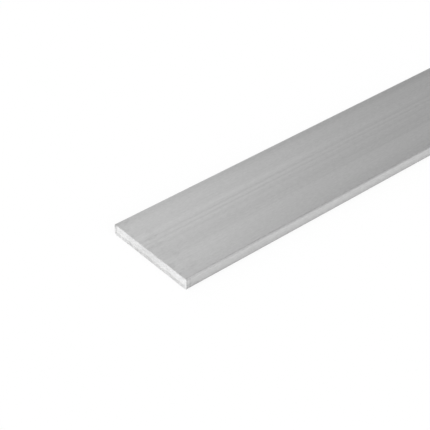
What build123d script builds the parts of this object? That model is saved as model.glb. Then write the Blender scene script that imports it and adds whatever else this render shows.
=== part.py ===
from build123d import *
import os

# A flat bar of extruded aluminium, as sold in a one metre length.
# It is one piece of metal: the die gives its section and its four small round
# long edges, and a saw gives its two square ends, with the burr taken off.
#
# The bar lies flat. Its length is along X, its width along Y and its thickness
# along Z. The origin is the middle of its underside.

# Driving dimensions, in millimetres.
BAR_WIDTH = 35.0
BAR_THICKNESS = 4.0
BAR_LENGTH = 1000.0
DIE_CORNER_RADIUS = 0.6
DEBURR_CHAMFER = 0.15

# Where the piece is written, under the name of its node.
PARTS_FOLDER = "parts"
BAR_NODE = "flat_bar"


def die_section():
    """The section that leaves the die: a flat rectangle with small round corners.

    It is drawn across the bar, and its lower side is on the floor.
    """
    centred = Plane.YZ * Pos(0, BAR_THICKNESS / 2)
    return centred * RectangleRounded(BAR_WIDTH, BAR_THICKNESS, DIE_CORNER_RADIUS)


def extruded_length(section):
    """The section carried along X, as far on one side of the origin as on the other."""
    return extrude(section, amount=BAR_LENGTH / 2, both=True)


def deburred(bar):
    """The same bar, with the sharp rim of each sawn end broken by a small chamfer."""
    sawn_faces = bar.faces().filter_by(Plane.YZ)
    return chamfer(sawn_faces.edges(), length=DEBURR_CHAMFER)


def flat_bar():
    """The whole bar, as one solid."""
    return deburred(extruded_length(die_section()))


os.makedirs(PARTS_FOLDER, exist_ok=True)
bar = flat_bar()
export_step(bar, f"{PARTS_FOLDER}/{BAR_NODE}.step")

size = bar.bounding_box().size
print(f"{BAR_NODE}: {size.X:.2f} x {size.Y:.2f} x {size.Z:.2f} mm, {bar.volume:.0f} mm3")
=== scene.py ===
# %% [markdown]
# # A metal flat bar
#
# The object is one length of flat bar. Hot aluminium was pressed through a steel die, stretched
# straight, cut to a metre with a saw and left in its mill finish, with no polish or coating on it.
# So there is very little to model, and what there is has to be right: the small round long edges,
# the faint lines that the die drew along the whole length, and the two sawn ends, which are
# brighter than the rest because a saw has just opened the metal there.
#
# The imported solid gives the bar's size. This script dresses it: it builds the same bar as a finer
# mesh, with the relief of its surfaces, gives it its two finishes, and lights it.

# %% Load the bar
import math
import random

import bmesh
import bpy
from mathutils import Matrix, Vector


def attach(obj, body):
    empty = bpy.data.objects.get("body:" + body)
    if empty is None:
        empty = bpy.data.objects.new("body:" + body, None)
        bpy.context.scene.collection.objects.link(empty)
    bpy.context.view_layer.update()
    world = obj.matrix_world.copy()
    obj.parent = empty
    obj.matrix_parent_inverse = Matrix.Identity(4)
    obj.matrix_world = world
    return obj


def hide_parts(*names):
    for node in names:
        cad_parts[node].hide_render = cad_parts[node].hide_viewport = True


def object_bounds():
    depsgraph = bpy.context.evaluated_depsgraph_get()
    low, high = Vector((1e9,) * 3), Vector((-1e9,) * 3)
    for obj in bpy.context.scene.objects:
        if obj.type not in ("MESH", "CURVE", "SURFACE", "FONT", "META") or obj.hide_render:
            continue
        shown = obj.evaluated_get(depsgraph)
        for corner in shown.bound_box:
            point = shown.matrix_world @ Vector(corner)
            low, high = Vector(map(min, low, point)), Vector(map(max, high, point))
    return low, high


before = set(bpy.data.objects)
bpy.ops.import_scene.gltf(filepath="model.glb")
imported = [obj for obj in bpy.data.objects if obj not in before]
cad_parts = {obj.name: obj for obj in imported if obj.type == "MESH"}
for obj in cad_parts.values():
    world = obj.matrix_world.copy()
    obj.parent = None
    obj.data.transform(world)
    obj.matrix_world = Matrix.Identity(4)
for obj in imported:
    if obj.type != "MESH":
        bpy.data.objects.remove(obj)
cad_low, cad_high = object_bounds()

MM = 0.001
MICRON = 0.000001

size = cad_high - cad_low
middle = (cad_low + cad_high) / 2
print(f"The bar is {size.x / MM:.0f} x {size.y / MM:.0f} x {size.z / MM:.0f} mm")

# %% [markdown]
# ## The camera
#
# The camera stands off the left end of the bar, in front of it, and looks down across the top face.
# Its lens is long, so the frame holds only the first stretch of the bar, which runs out of it on the
# right. The camera is placed from the corner that is nearest to it, so it would follow a bar of
# another length.

# %% Camera
CAMERA_FROM_CORNER = Vector((-173.17, -217.09, 238.0)) * MM
HEADING = math.radians(49.674)
DIP = math.radians(37.633)
LENS_MM = 104.74
SENSOR_MM = 36.0

camera_data = bpy.data.cameras.new("camera")
camera_data.lens = LENS_MM
camera_data.sensor_width = SENSOR_MM
camera_data.clip_start = 0.01
camera_data.clip_end = 100.0
camera = bpy.data.objects.new("camera", camera_data)
near_corner = Vector((cad_low.x, cad_low.y, cad_high.z))
camera.location = near_corner + CAMERA_FROM_CORNER
aim = Vector((math.cos(HEADING) * math.cos(DIP), math.sin(HEADING) * math.cos(DIP), -math.sin(DIP)))
camera.rotation_euler = aim.to_track_quat("-Z", "Y").to_euler()
bpy.context.scene.collection.objects.link(camera)
bpy.context.scene.camera = camera
print("The camera is", round(CAMERA_FROM_CORNER.length / MM), "mm from the near corner")

# %% [markdown]
# ## Shader maths as Python
#
# A finish is a sum of many faint marks, so its node tree is mostly arithmetic. A small class wraps
# an output socket and turns Python's operators into Math nodes, which lets each mark be written as
# one expression. Any other node comes from one method of the tree's own class.

# %% A socket that can be used in an expression
class Value:
    """An output socket of a shader tree. Arithmetic on it adds Math nodes."""

    def __init__(self, tree, socket):
        self.tree = tree
        self.socket = socket

    def __add__(self, other):
        return self.tree.math("ADD", self, other)

    def __sub__(self, other):
        return self.tree.math("SUBTRACT", self, other)

    def __rsub__(self, other):
        return self.tree.math("SUBTRACT", other, self)

    def __mul__(self, other):
        return self.tree.math("MULTIPLY", self, other)

    def __truediv__(self, other):
        return self.tree.math("DIVIDE", self, other)

    def __abs__(self):
        return self.tree.math("ABSOLUTE", self)

    __radd__ = __add__
    __rmul__ = __mul__


# %% A node tree with one way of adding a node
class Tree:
    """A shader tree, emptied, to which nodes are added by name."""

    def __init__(self, owner):
        owner.use_nodes = True
        self.nodes = owner.node_tree.nodes
        self.links = owner.node_tree.links
        self.nodes.clear()

    def node(self, kind, settings=None, inputs=None, output=None):
        """Adds a node, sets it, fills its sockets, in order or by name, and returns an output."""
        made = self.nodes.new(kind)
        for name, setting in (settings or {}).items():
            setattr(made, name, setting)
        sockets = [socket for socket in made.inputs if socket.enabled]
        if isinstance(inputs, dict):
            by_name = {socket.name: socket for socket in sockets}
            pairs = [(by_name[name], given) for name, given in inputs.items()]
        else:
            pairs = list(zip(sockets, inputs or []))
        for socket, given in pairs:
            if isinstance(given, Value):
                self.links.new(given.socket, socket)
            else:
                socket.default_value = given
        outputs = [socket for socket in made.outputs if socket.enabled]
        chosen = [socket for socket in outputs if output in (None, socket.name)]
        return Value(self, chosen[0]) if chosen else None

    def math(self, operation, *inputs):
        """The result of a Math node on one or two inputs."""
        return self.node("ShaderNodeMath", {"operation": operation}, inputs)

    def smooth_step(self, value, none_at, full_at):
        """0 where the value is none_at, 1 where it is full_at, and a soft change between them."""
        settings = {"interpolation_type": "SMOOTHSTEP"}
        return self.node("ShaderNodeMapRange", settings, [value, none_at, full_at, 0.0, 1.0])


# %% [markdown]
# ## Floor and studio
#
# Metal shows what is round it, so the studio is as much a part of the finish as the shader is. The
# floor is plain white. Above it stands an even dome of soft light with two brighter areas, which
# stand for two softboxes: a very large one high up behind the camera, and a small one lower down
# behind the bar. The bar's top mirrors the fading edge of the small one, which is why its tone falls
# along the bar. The large one faces the sawn end and the narrow side.
#
# The dome is written in the world shader from the direction of a ray. It is as far away as can be,
# so the floor is lit evenly, and is white everywhere but in the bar's own soft shadow. Low down, all
# round, the dome is a white backdrop, which a camera that stands low sees behind the bar. The lift
# in the floor's paint only keeps the shadow faint, for the camera and in what the metal mirrors.

# %% Floor
FLOOR_REACH = 60.0
FLOOR_WHITE = (0.95, 0.95, 0.95, 1.0)
SHADOW_LIFT = 0.85
MIRRORED_LIFT = 0.1
WHITE = (1.0, 1.0, 1.0, 1.0)
BLACK = (0.0, 0.0, 0.0, 1.0)

floor_mesh = bpy.data.meshes.new("floor")
bm = bmesh.new()
bmesh.ops.create_grid(bm, x_segments=1, y_segments=1, size=FLOOR_REACH)
bm.to_mesh(floor_mesh)
bm.free()
floor = bpy.data.objects.new("floor", floor_mesh)
bpy.context.scene.collection.objects.link(floor)

floor_paint = bpy.data.materials.new("white_floor")
tree = Tree(floor_paint)
matte = tree.node("ShaderNodeBsdfDiffuse", {}, {"Color": FLOOR_WHITE})
glow = tree.node("ShaderNodeEmission", {}, {"Color": WHITE, "Strength": 1.0})
to_camera = tree.node("ShaderNodeLightPath", output="Is Camera Ray")
to_metal = tree.node("ShaderNodeLightPath", output="Is Glossy Ray")
lift = to_camera * SHADOW_LIFT + to_metal * MIRRORED_LIFT
surface = tree.node("ShaderNodeMixShader", {}, [lift, matte, glow])
tree.node("ShaderNodeOutputMaterial", {}, {"Surface": surface})
floor_mesh.materials.append(floor_paint)
print("The floor reaches", FLOOR_REACH, "m each way")

# %% Studio
DOME_LEVEL = 0.455
SOFTBOXES = (
    # heading and height of the middle, full out to, gone by (all in degrees), and strength
    (231.0, 51.0, 40.0, 69.0, 1.02),
    (70.5, 31.5, 12.0, 27.0, 0.82),
)
BACKDROP_FULL = 8.0
BACKDROP_GONE = 18.0

world = bpy.data.worlds.new("studio")
bpy.context.scene.world = world
tree = Tree(world)
ray = tree.node("ShaderNodeTexCoord", output="Generated")


def towards(heading, rise):
    """The cosine of the angle between a ray and a direction given in degrees."""
    turn, tilt = math.radians(heading), math.radians(rise)
    direction = (math.cos(turn) * math.cos(tilt), math.sin(turn) * math.cos(tilt), math.sin(tilt))
    settings = {"operation": "DOT_PRODUCT"}
    return tree.node("ShaderNodeVectorMath", settings, [ray, direction], output="Value")


dome = DOME_LEVEL
for heading, rise, full, gone, strength in SOFTBOXES:
    inner, outer = math.cos(math.radians(full)), math.cos(math.radians(gone))
    dome = dome + tree.smooth_step(towards(heading, rise), outer, inner) * strength
backdrop = tree.smooth_step(
    towards(0.0, 90.0), math.sin(math.radians(BACKDROP_GONE)), math.sin(math.radians(BACKDROP_FULL))
)
studio = dome + backdrop * (1.0 - dome)
background = tree.node("ShaderNodeBackground", {}, {"Color": WHITE, "Strength": studio})
tree.node("ShaderNodeOutputWorld", {}, {"Surface": background})
bpy.context.scene.view_settings.view_transform = "Standard"
print("The studio is one dome, of", len(tree.nodes), "nodes")

# %% [markdown]
# ## The bar as a fine mesh
#
# The mesh starts as a grid of small square cells that fills the bar's section. The cells at each
# corner are drawn in until the outline is round. The outline alone is carried along the bar, and
# loops of edges let the relief change slowly from one end to the other. A whole grid closes each
# end, so that no face there has hundreds of sides.
#
# Extruding the grid would give the same shape, but Blender's extrusion hands over its new parts in
# an order that differs from run to run. So outlines are bridged instead, which is the same each time.

# %% The section
CELL = 0.125 * MM
DIE_CORNER = 0.6 * MM


def round_corners(verts):
    """Draws the cells at each square corner in, onto the die's round corner."""
    for vert in verts:
        place = vert.co - middle
        over = abs(place.y) - (size.y / 2 - DIE_CORNER)
        above = abs(place.z) - (size.z / 2 - DIE_CORNER)
        if over > 0 and above > 0:
            pull = 1 - max(over, above) / math.hypot(over, above)
            vert.co.y -= math.copysign(over * pull, place.y)
            vert.co.z -= math.copysign(above * pull, place.z)


def section(bm, x):
    """Stands a grid of square cells, with round corners, across the bar at x."""
    stand = Matrix(
        (
            (0.0, 0.0, 1.0, x),
            (size.y, 0.0, 0.0, middle.y),
            (0.0, size.z, 0.0, middle.z),
            (0.0, 0.0, 0.0, 1.0),
        )
    )
    across, up = round(size.y / CELL), round(size.z / CELL)
    made = bmesh.ops.create_grid(bm, x_segments=across, y_segments=up, size=0.5, matrix=stand)
    round_corners(made["verts"])
    return made["verts"]


def outline(bm, x):
    """Stands only the outline of the section across the bar at x."""
    verts = section(bm, x)
    inside = [vert for vert in verts if not vert.is_boundary]
    bmesh.ops.delete(bm, geom=inside, context="VERTS")
    return [vert for vert in verts if vert.is_valid]


# %% The long faces
RIM = 0.15 * MM
LENGTH_STEPS = 50

# The two outlines stand close together while they are bridged, so that each point meets its twin.
bm = bmesh.new()
body_end = size.x / 2 - RIM
outline(bm, middle.x - body_end)
right_outline = outline(bm, middle.x - body_end + CELL)
bmesh.ops.bridge_loops(bm, edges=list(bm.edges))
bmesh.ops.translate(bm, verts=right_outline, vec=(2 * body_end - CELL, 0.0, 0.0))
long_edges = [edge for edge in bm.edges if edge.calc_length() > body_end]
bmesh.ops.subdivide_edges(bm, edges=long_edges, cuts=LENGTH_STEPS - 1)
print("The outline has", len(right_outline), "points, and the long faces", len(bm.faces), "cells")

# %% The sawn ends and their rims
def close_end(bm, outward):
    """Stands a slightly smaller section at one end and joins it on, which leaves a small chamfer."""
    cap = section(bm, middle.x + outward * size.x / 2)
    narrower = (1.0, 1 - 2 * RIM / size.y, 1 - 2 * RIM / size.z)
    bmesh.ops.scale(bm, verts=cap, vec=narrower, space=Matrix.Translation(-middle))
    open_edges = [edge for edge in bm.edges if edge.is_boundary]
    at_end = [edge for edge in open_edges if (edge.verts[0].co.x - middle.x) * outward > 0]
    bmesh.ops.bridge_loops(bm, edges=at_end)
    return cap


left_verts = close_end(bm, -1)
right_verts = close_end(bm, 1)
bmesh.ops.recalc_face_normals(bm, faces=bm.faces)
open_edges = [edge for edge in bm.edges if len(edge.link_faces) != 2]
print("Open edges:", len(open_edges), " volume in mm3:", round(bm.calc_volume(signed=True) / MM**3))

# %% [markdown]
# ## Die lines
#
# A die is never perfectly smooth, so it draws faint lines in the metal, a few microns deep and as long
# as the bar. They could be a bump texture. Here they are real relief, because they give the bar its
# look: a line tilts the surface by less than half a degree, and that is enough to catch the light or
# lose it. A few clear lines are listed, and many finer ones come from a seeded generator, so every run
# gives the same bar. Each line is cut into the face, so the bar never outgrows its size.

# %% The lines of each face
CLEAR_LINES = (
    # place across the top from the front edge, as a share of the width; width in mm; microns deep
    (0.327, 1.9, 2.0),
    (0.508, 1.2, 2.2),
    (0.575, 1.0, 2.4),
    (0.635, 1.1, 2.4),
)
FINE_WIDTHS_MM = (0.4, 1.6)
FINE_DEPTHS_MICRONS = (0.1, 0.6)
WAVES_TO_A_BAR = (2.0, 9.0)
FADE = 0.25


class Line:
    """One groove along the bar, which fades and deepens slowly on its way."""

    def __init__(self, place, width, depth, dice):
        self.place = place
        self.half = width / 2
        self.depth = depth
        self.waves = dice.uniform(*WAVES_TO_A_BAR) * math.tau / size.x
        self.start = dice.uniform(0.0, math.tau)

    def depth_at(self, across, along):
        away = abs(across - self.place)
        if away >= self.half:
            return 0.0
        shape = 0.5 + 0.5 * math.cos(math.pi * away / self.half)
        drift = 1 - FADE + FADE * math.sin(self.waves * along + self.start)
        return self.depth * shape * drift


def drawn_lines(count, reach, seed, clear=()):
    """The lines of one face: the clear ones, and fine ones strewn over its reach."""
    dice = random.Random(seed)
    lines = [Line(place, width * MM, depth * MICRON, dice) for place, width, depth in clear]
    for _ in range(count):
        width = dice.uniform(*FINE_WIDTHS_MM) * MM
        room = reach / 2 - width / 2
        place = dice.uniform(-room, room)
        lines.append(Line(place, width, dice.uniform(*FINE_DEPTHS_MICRONS) * MICRON, dice))
    return lines


FLAT_WIDTH = size.y - 2 * DIE_CORNER
FLAT_HEIGHT = size.z - 2 * DIE_CORNER
clear = [((share - 0.5) * size.y, width, depth) for share, width, depth in CLEAR_LINES]
top_lines = drawn_lines(count=60, reach=FLAT_WIDTH, seed=11, clear=clear)
under_lines = drawn_lines(count=70, reach=FLAT_WIDTH, seed=12)
front_lines = drawn_lines(count=8, reach=FLAT_HEIGHT, seed=13)
back_lines = drawn_lines(count=8, reach=FLAT_HEIGHT, seed=14)
print("Lines on the top face:", len(top_lines))

# %% Press the lines into the mesh
NEARLY = 1.0 * MICRON


def pressed(lines, across, along):
    """How deep the lines of a face go at one point, all together."""
    return sum(line.depth_at(across, along) for line in lines)


deepest = 0.0
for vert in bm.verts:
    place = vert.co - middle
    if abs(place.x) > body_end + NEARLY:
        continue
    if abs(place.z) > size.z / 2 - NEARLY and abs(place.y) < FLAT_WIDTH / 2:
        depth = pressed(top_lines if place.z > 0 else under_lines, place.y, place.x)
        vert.co.z -= math.copysign(depth, place.z)
    elif abs(place.y) > size.y / 2 - NEARLY and abs(place.z) < FLAT_HEIGHT / 2:
        depth = pressed(back_lines if place.y > 0 else front_lines, place.z, place.x)
        vert.co.y -= math.copysign(depth, place.y)
    else:
        continue
    deepest = max(deepest, depth)
print("At their deepest the lines go", round(deepest / MICRON, 1), "microns down")

# %% [markdown]
# ## Saw marks
#
# A circular saw cuts each end, and every tooth leaves a shallow arc about the blade's axle. The arcs
# are grooves in the mesh too: the depth at a point depends on how far it is from the axle, which
# gives curved marks that lean across the end. A slower wave makes some marks deeper than others.

# %% Cut the saw marks
BLADE_AXLE = (60.0 * MM, 95.0 * MM)
MARK_PITCH = 0.42 * MM
MARK_DEPTH = 4.0 * MICRON
MARKS_TO_A_WAVE = 5.3
WAVE_SHARE = 0.45


def saw_mark(y, z, outward):
    """How deep the saw's arcs go at a point of the end that looks outward, which is -1 or 1."""
    reach = math.hypot(y + outward * BLADE_AXLE[0], z - BLADE_AXLE[1])
    tooth = 0.5 + 0.5 * math.sin(math.tau * reach / MARK_PITCH)
    wave = math.sin(math.tau * reach / (MARKS_TO_A_WAVE * MARK_PITCH) + math.sin(reach / MM))
    return MARK_DEPTH * tooth * (1 - WAVE_SHARE + WAVE_SHARE * wave)


for verts, outward in ((left_verts, -1), (right_verts, 1)):
    for vert in verts:
        vert.co.x -= outward * saw_mark(vert.co.y - middle.y, vert.co.z - middle.z, outward)
print("Saw marks cut into", len(left_verts) + len(right_verts), "vertices")

# %% [markdown]
# ## Smooth faces and two finishes
#
# The relief only looks right if light runs smoothly over it, so every face is smooth, and only the
# edges that bend sharply, at the rims of the ends, are left hard. The rims belong to the sawn ends:
# a file or a brush has bared the metal there too.

# %% Smooth the faces and sort them by finish
CREASE = math.radians(30.0)
MILL_SLOT = 0
SAWN_SLOT = 1

bm.normal_update()
for face in bm.faces:
    face.smooth = True
    at_end = abs(face.calc_center_median().x - middle.x) > body_end
    face.material_index = SAWN_SLOT if at_end else MILL_SLOT
for edge in bm.edges:
    edge.smooth = edge.calc_face_angle(0.0) < CREASE
print("Faces at the sawn ends:", sum(face.material_index == SAWN_SLOT for face in bm.faces))

# %% [markdown]
# ## A sheet for baked copies
#
# Both finishes are worked out from places in the bar, so here they need no UV map. A copy for another
# program does: its finishes are baked, which means painted on a square sheet that is wrapped round the
# bar. Blender can lay out such a sheet by itself, but a bar is so long that each sawn end would get a
# few pixels and its rim none at all. So this script lays the sheet out itself. Each long face is cut
# in two at the middle of the bar, and the eight halves lie on the sheet as strips, one above the
# other. The two ends share the last strip, where they are drawn far larger.

# %% The strips of the sheet
BAKE_MAP = "OFBake"
STRIP_GAP = 0.006
ENDS_HEIGHT = 0.07
LONG_STRIPS = 8
LENGTHWISE, ACROSS, UPWARD = 0, 1, 2
BESIDE = {UPWARD: ACROSS, ACROSS: UPWARD}

room = 1 - ENDS_HEIGHT - STRIP_GAP * (LONG_STRIPS + 2)
sheet_per_metre = room / (LONG_STRIPS / 2 * (size.y + size.z))
strips = {}
strip_low = STRIP_GAP
for axis, beside in BESIDE.items():
    for outward in (False, True):
        for right_half in (False, True):
            height = size[beside] * sheet_per_metre
            strips[axis, outward, right_half] = (STRIP_GAP, strip_low, 1 - 2 * STRIP_GAP, height)
            strip_low += height + STRIP_GAP
for outward in (False, True):
    left = 0.5 + STRIP_GAP / 2 if outward else STRIP_GAP
    strips[LENGTHWISE, outward, False] = (left, strip_low, 0.5 - 1.5 * STRIP_GAP, ENDS_HEIGHT)
print("The sheet has", len(strips), "strips and is full up to", round(strip_low + ENDS_HEIGHT, 3))

# %% Lay the faces out on the sheet
def strip_of(face):
    """The axis that a face looks along, if it looks up that axis, and if it is in the right half."""
    centre = face.calc_center_median() - middle
    if face.material_index == SAWN_SLOT:
        return LENGTHWISE, centre.x > 0, False
    axis = UPWARD if abs(face.normal.z) > abs(face.normal.y) else ACROSS
    return axis, face.normal[axis] > 0, centre.x > 0


def on_sheet(place, strip):
    """Where a point of the bar lies on the sheet."""
    axis, _, right_half = strip
    left, low, width, height = strips[strip]
    share = [part / whole for part, whole in zip(place - cad_low, size)]
    if axis == LENGTHWISE:
        return left + share[ACROSS] * width, low + share[UPWARD] * height
    return left + (2 * share[LENGTHWISE] - right_half) * width, low + share[BESIDE[axis]] * height


sheet = bm.loops.layers.uv.new(BAKE_MAP)
for face in bm.faces:
    strip = strip_of(face)
    for loop in face.loops:
        loop[sheet].uv = on_sheet(loop.vert.co, strip)
print("Faces laid out:", len(bm.faces))

# %% The finished bar
mesh = bpy.data.meshes.new("flat_bar_metal")
bm.to_mesh(mesh)
bm.free()
bar = bpy.data.objects.new("flat_bar_metal", mesh)
bpy.context.scene.collection.objects.link(bar)
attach(bar, "root")
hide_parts("flat_bar")
triangles = sum(len(polygon.vertices) - 2 for polygon in mesh.polygons)
print("The bar has", triangles, "triangles")

# %% [markdown]
# ## Mill finish
#
# The long faces are as they left the die: a satin grey, drawn in streaks along the bar. Noise that is
# stretched along the bar gives the hairlines and the streaks, and rounder noise gives fine flecks and
# a faint cloud. Over them lie the bands, stripes where the die was a little smoother or rougher, which
# fade and come back along the bar. The last band, a wide dark one along the back edge, is painted
# shade. Each mark is a few parts in a hundred of the metal's grey.
#
# Handling and sawing leave marks of their own. Beside the saw cuts the metal is scuffed, and the
# narrow sides have upright marks there, where the burr came off. Painted shade darkens the rounded
# edges and the foot of the narrow sides, painted light brightens the narrow sides, and one corner is
# darker.
#
# The helpers below add their nodes to the tree of the finish that is being made, and the sawn
# finish uses them again.

# %% Begin a finish
def begin_finish(name):
    """A new material, its tree, and the place of a point: as a vector, along, across and up."""
    material = bpy.data.materials.new(name)
    tree = Tree(material)
    place = tree.node("ShaderNodeTexCoord", output="Object")
    parts = [tree.node("ShaderNodeSeparateXYZ", {}, [place], output=axis) for axis in "XYZ"]
    return material, tree, place, *parts


mill, tree, place, along, across, up = begin_finish("mill_finish")
print("The mill finish begins with", len(tree.nodes), "nodes")

# %% Streaks, flecks and clouds
def noise(per_metre, detail, roughness):
    """Noise about 0, with so many marks to the metre along X, Y and Z."""
    stretched = tree.node("ShaderNodeVectorMath", {"operation": "MULTIPLY"}, [place, per_metre])
    inputs = {"Vector": stretched, "Scale": 1.0, "Detail": detail, "Roughness": roughness}
    return tree.node("ShaderNodeTexNoise", {}, inputs, output="Fac") - 0.5


def mixed(marks, shares):
    """The marks added up, each by its own share."""
    return sum(marks[kind] * share for kind, share in shares.items())


mill_marks = {
    "hairlines": noise((6.0, 2000.0, 2000.0), detail=3.0, roughness=0.6),
    "streaks": noise((2.5, 420.0, 420.0), detail=2.0, roughness=0.5),
    "flecks": noise((550.0, 1500.0, 1500.0), detail=2.0, roughness=0.7),
    "clouds": noise((70.0, 110.0, 110.0), detail=2.0, roughness=0.5),
}
MILL_TONE = {"hairlines": 0.14, "streaks": 0.02, "flecks": 0.26, "clouds": 0.03}
MILL_ROUGHNESS = {"hairlines": 0.10, "streaks": 0.06, "flecks": 0.08}
print("The mill finish has marks of", len(mill_marks), "kinds")

# %% Bands that the die left, and one band of painted shade
BANDS = (
    # place across the bar from its front edge, as a share of the width; width in mm; how much brighter
    (0.070, 3.5, 0.005),
    (0.097, 1.5, -0.015),
    (0.195, 10.0, 0.040),
    (0.280, 5.5, 0.027),
    (0.326, 1.5, -0.020),
    (0.400, 3.5, -0.015),
    (0.477, 1.5, 0.020),
    (0.507, 1.0, -0.030),
    (0.554, 2.3, 0.035),
    (0.575, 1.1, -0.040),
    (0.604, 1.5, 0.048),
    (0.634, 1.1, -0.040),
    (0.686, 4.0, 0.060),
    (0.830, 2.5, 0.010),
    # Painted shade: this wide dark band darkens the back rounded edge and the back narrow side.
    (0.967, 7.5, -0.090),
)
BAND_DRIFT = 1.5

share_across = (across - cad_low.y) / size.y
bands = 0.0
for centre, width, gain in BANDS:
    half = width * MM / size.y / 2
    bands = bands + tree.smooth_step(abs(share_across - centre), half, 0.0) * gain
drift = noise((24.0, 150.0, 150.0), detail=2.0, roughness=0.5) * BAND_DRIFT
bands = bands * (1.0 + drift)
print("The die left", len(BANDS), "bands")

# %% Painted shade along the rounded edges
EDGE_REACH = 0.7 * MM
EDGE_PAINTED_SHADE = 0.04

past_side = abs(across - middle.y) - (size.y / 2 - DIE_CORNER)
past_top = abs(up - middle.z) - (size.z / 2 - DIE_CORNER)
into_corner = tree.math("MINIMUM", past_side, past_top)
# Painted shade: the rounded long edges are drawn darker.
edge_painted_shade = tree.smooth_step(into_corner, DIE_CORNER - EDGE_REACH, DIE_CORNER / 2) * EDGE_PAINTED_SHADE
print("The edges dull over", EDGE_REACH / MM, "mm")

# %% Scuffs beside the saw cuts
SCUFF_REACH = 12.0 * MM
SCUFF_FULL = 1.0 * MM
SCUFF_LOSS = 0.09
SCUFFED_ABOVE = 0.02
SCUFFED_FULLY = 0.14

from_end = size.x / 2 - abs(along - middle.x)
scuff_noise = noise((260.0, 420.0, 420.0), detail=3.0, roughness=0.6)
scuffs = tree.smooth_step(scuff_noise, SCUFFED_ABOVE, SCUFFED_FULLY)
scuff_loss = scuffs * tree.smooth_step(from_end, SCUFF_REACH, SCUFF_FULL) * SCUFF_LOSS
print("The scuffs reach", SCUFF_REACH / MM, "mm in from the ends")

# %% The narrow sides
SIDE_PAINTED_LIGHT = 0.035
SIDE_LINES = 0.35
FOOT_PAINTED_SHADE = 0.12
FOOT_FROM = 2.0 * MM
FOOT_FULL = 0.8 * MM
BURR_REACH = 2.5 * MM
BURR_TONE = 0.6

on_side = tree.smooth_step(past_side, DIE_CORNER / 3, DIE_CORNER)
shaded_foot = tree.smooth_step(up - cad_low.z, FOOT_FROM, FOOT_FULL)
burr_noise = noise((1500.0, 60.0, 60.0), detail=2.0, roughness=0.5)
burr = burr_noise * tree.smooth_step(from_end, BURR_REACH, BURR_REACH / 2)
side_lines = mill_marks["hairlines"] * SIDE_LINES
# Painted light over the whole narrow side and painted shade at its foot, together with the side's real
# hairlines and burr marks.
side_marks_and_painted_light = on_side * (SIDE_PAINTED_LIGHT + side_lines - shaded_foot * FOOT_PAINTED_SHADE + burr * BURR_TONE)
print("The narrow sides have a dull foot, up to", FOOT_FROM / MM, "mm high")

# %% A darker corner
DARK_SPOT_CORNER = (cad_low.x, cad_high.y, cad_high.z)
DARK_SPOT_REACH = 2.2 * MM
MILL_DARK_SPOT = 0.12
SAWN_DARK_SPOT = 0.30


def dark_spot():
    """1 at the darker corner, and 0 where the dark spot is over."""
    inputs = [place, DARK_SPOT_CORNER]
    away = tree.node("ShaderNodeVectorMath", {"operation": "DISTANCE"}, inputs, output="Value")
    return tree.smooth_step(away, DARK_SPOT_REACH, DARK_SPOT_REACH / 4)


# The long faces and the sawn end are darker in a spot round this corner.
dark_spot_loss = dark_spot() * MILL_DARK_SPOT
print("The bruise reaches", DARK_SPOT_REACH / MM, "mm from its corner")

# %% The surface of the long faces
MILL_GREY = 0.556
MILL_SATIN = 0.38
MILL_BUMP = 0.8 * MICRON


def greyed(level):
    """A grey colour from a level between 0 and 1."""
    inputs = {"Factor": level, "A": BLACK, "B": WHITE}
    return tree.node("ShaderNodeMix", {"data_type": "RGBA"}, inputs, output="Result")


def bumped(height, depth):
    """A normal tilted by a height that is worth so many metres for each 1."""
    inputs = {"Strength": 1.0, "Distance": depth, "Height": height}
    return tree.node("ShaderNodeBump", {}, inputs)


def bare_metal(colour, roughness, normal):
    """Gives the tree's material the surface of uncoated metal."""
    inputs = {"Base Color": colour, "Metallic": 1.0, "Roughness": roughness, "Normal": normal}
    metal = tree.node("ShaderNodeBsdfPrincipled", {}, inputs)
    tree.node("ShaderNodeOutputMaterial", {}, {"Surface": metal})


shade = 1.0 + bands + mixed(mill_marks, MILL_TONE) + side_marks_and_painted_light - edge_painted_shade - scuff_loss - dark_spot_loss
roughness = MILL_SATIN + mixed(mill_marks, MILL_ROUGHNESS)
bare_metal(greyed(shade * MILL_GREY), roughness, bumped(mill_marks["hairlines"], MILL_BUMP))
mesh.materials.append(mill)
print("The mill finish takes", len(tree.nodes), "nodes")

# %% [markdown]
# ## Sawn ends
#
# The saw opened bright metal, which is rougher than the long faces. The teeth also ruled it with arcs
# that are too fine for the mesh, so these are part of the finish. The soft metal smeared, which
# mottles it, and it is a little duller round the middle, where the blade rubbed. Along the underside
# and the back, painted shade darkens a ragged strip.

# %% Marks that the teeth left
sawn, tree, place, along, across, up = begin_finish("sawn_finish")


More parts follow.
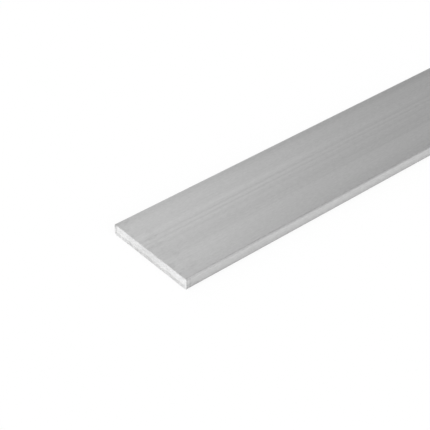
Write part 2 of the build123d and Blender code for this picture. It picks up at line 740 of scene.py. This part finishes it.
def tooth_arcs(per_metre, detail, roughness):
    """Noise about 0 in arcs about the blade's axle, with so many to the metre."""
    which_end = tree.math("SIGN", along - middle.x)
    beside_axle = across - middle.y + which_end * BLADE_AXLE[0]
    below_axle = up - middle.z - BLADE_AXLE[1]
    reach = tree.math("SQRT", beside_axle * beside_axle + below_axle * below_axle)
    inputs = {"W": reach * per_metre, "Scale": 1.0, "Detail": detail, "Roughness": roughness}
    return tree.node("ShaderNodeTexNoise", {"noise_dimensions": "1D"}, inputs, output="Fac") - 0.5


sawn_marks = {
    "smears": noise((300.0, 260.0, 560.0), detail=3.0, roughness=0.6),
    "specks": noise((1300.0, 1100.0, 1300.0), detail=2.0, roughness=0.6),
    "grain": noise((4000.0, 4000.0, 4000.0), detail=2.0, roughness=0.6),
    "arcs": tooth_arcs(1800.0, detail=2.0, roughness=0.7),
}
SAWN_TONE = {"smears": 0.42, "specks": 0.35, "arcs": 0.30}
SAWN_HEIGHT = {"specks": 1.0, "grain": 1.0}
SAWN_ROUGHNESS = {"smears": 0.2}
print("The sawn ends have marks of", len(sawn_marks), "kinds")

# %% The rubbed middle and the painted shade along the lower and back edges
RUBBED_MIDDLE = 0.52
RUBBED_REACH = 0.38
RUBBED_LOSS = 0.085
SHADED_STRIP_FROM = 1.65 * MM
SHADED_STRIP_FULL = 1.25 * MM
SHADED_STRIP_WANDER = 1.5 * MM
SHADED_STRIP_LOSS = 0.13

from_rubbed = abs((across - cad_low.y) / size.y - RUBBED_MIDDLE)
rub_loss = tree.smooth_step(from_rubbed, RUBBED_REACH, 0.0) * RUBBED_LOSS
from_under_and_back = tree.math("MINIMUM", up - cad_low.z, cad_high.y - across)
wander = sawn_marks["smears"] * SHADED_STRIP_WANDER
# Painted shade: a ragged strip along the underside and the back of each sawn end is drawn darker.
painted_strip_shade = tree.smooth_step(from_under_and_back + wander, SHADED_STRIP_FROM, SHADED_STRIP_FULL) * SHADED_STRIP_LOSS
print("The torn strip is about", SHADED_STRIP_FROM / MM, "mm wide")

# %% The surface of the sawn ends
SAWN_GREY = 0.86
SAWN_SATIN = 0.45
SAWN_BUMP = 3.0 * MICRON

shade = 1.0 + mixed(sawn_marks, SAWN_TONE) - rub_loss - painted_strip_shade - dark_spot() * SAWN_DARK_SPOT
roughness = SAWN_SATIN + mixed(sawn_marks, SAWN_ROUGHNESS)
normal = bumped(mixed(sawn_marks, SAWN_HEIGHT), SAWN_BUMP)
bare_metal(greyed(shade * SAWN_GREY), roughness, normal)
mesh.materials.append(sawn)
print("The sawn finish takes", len(tree.nodes), "nodes")
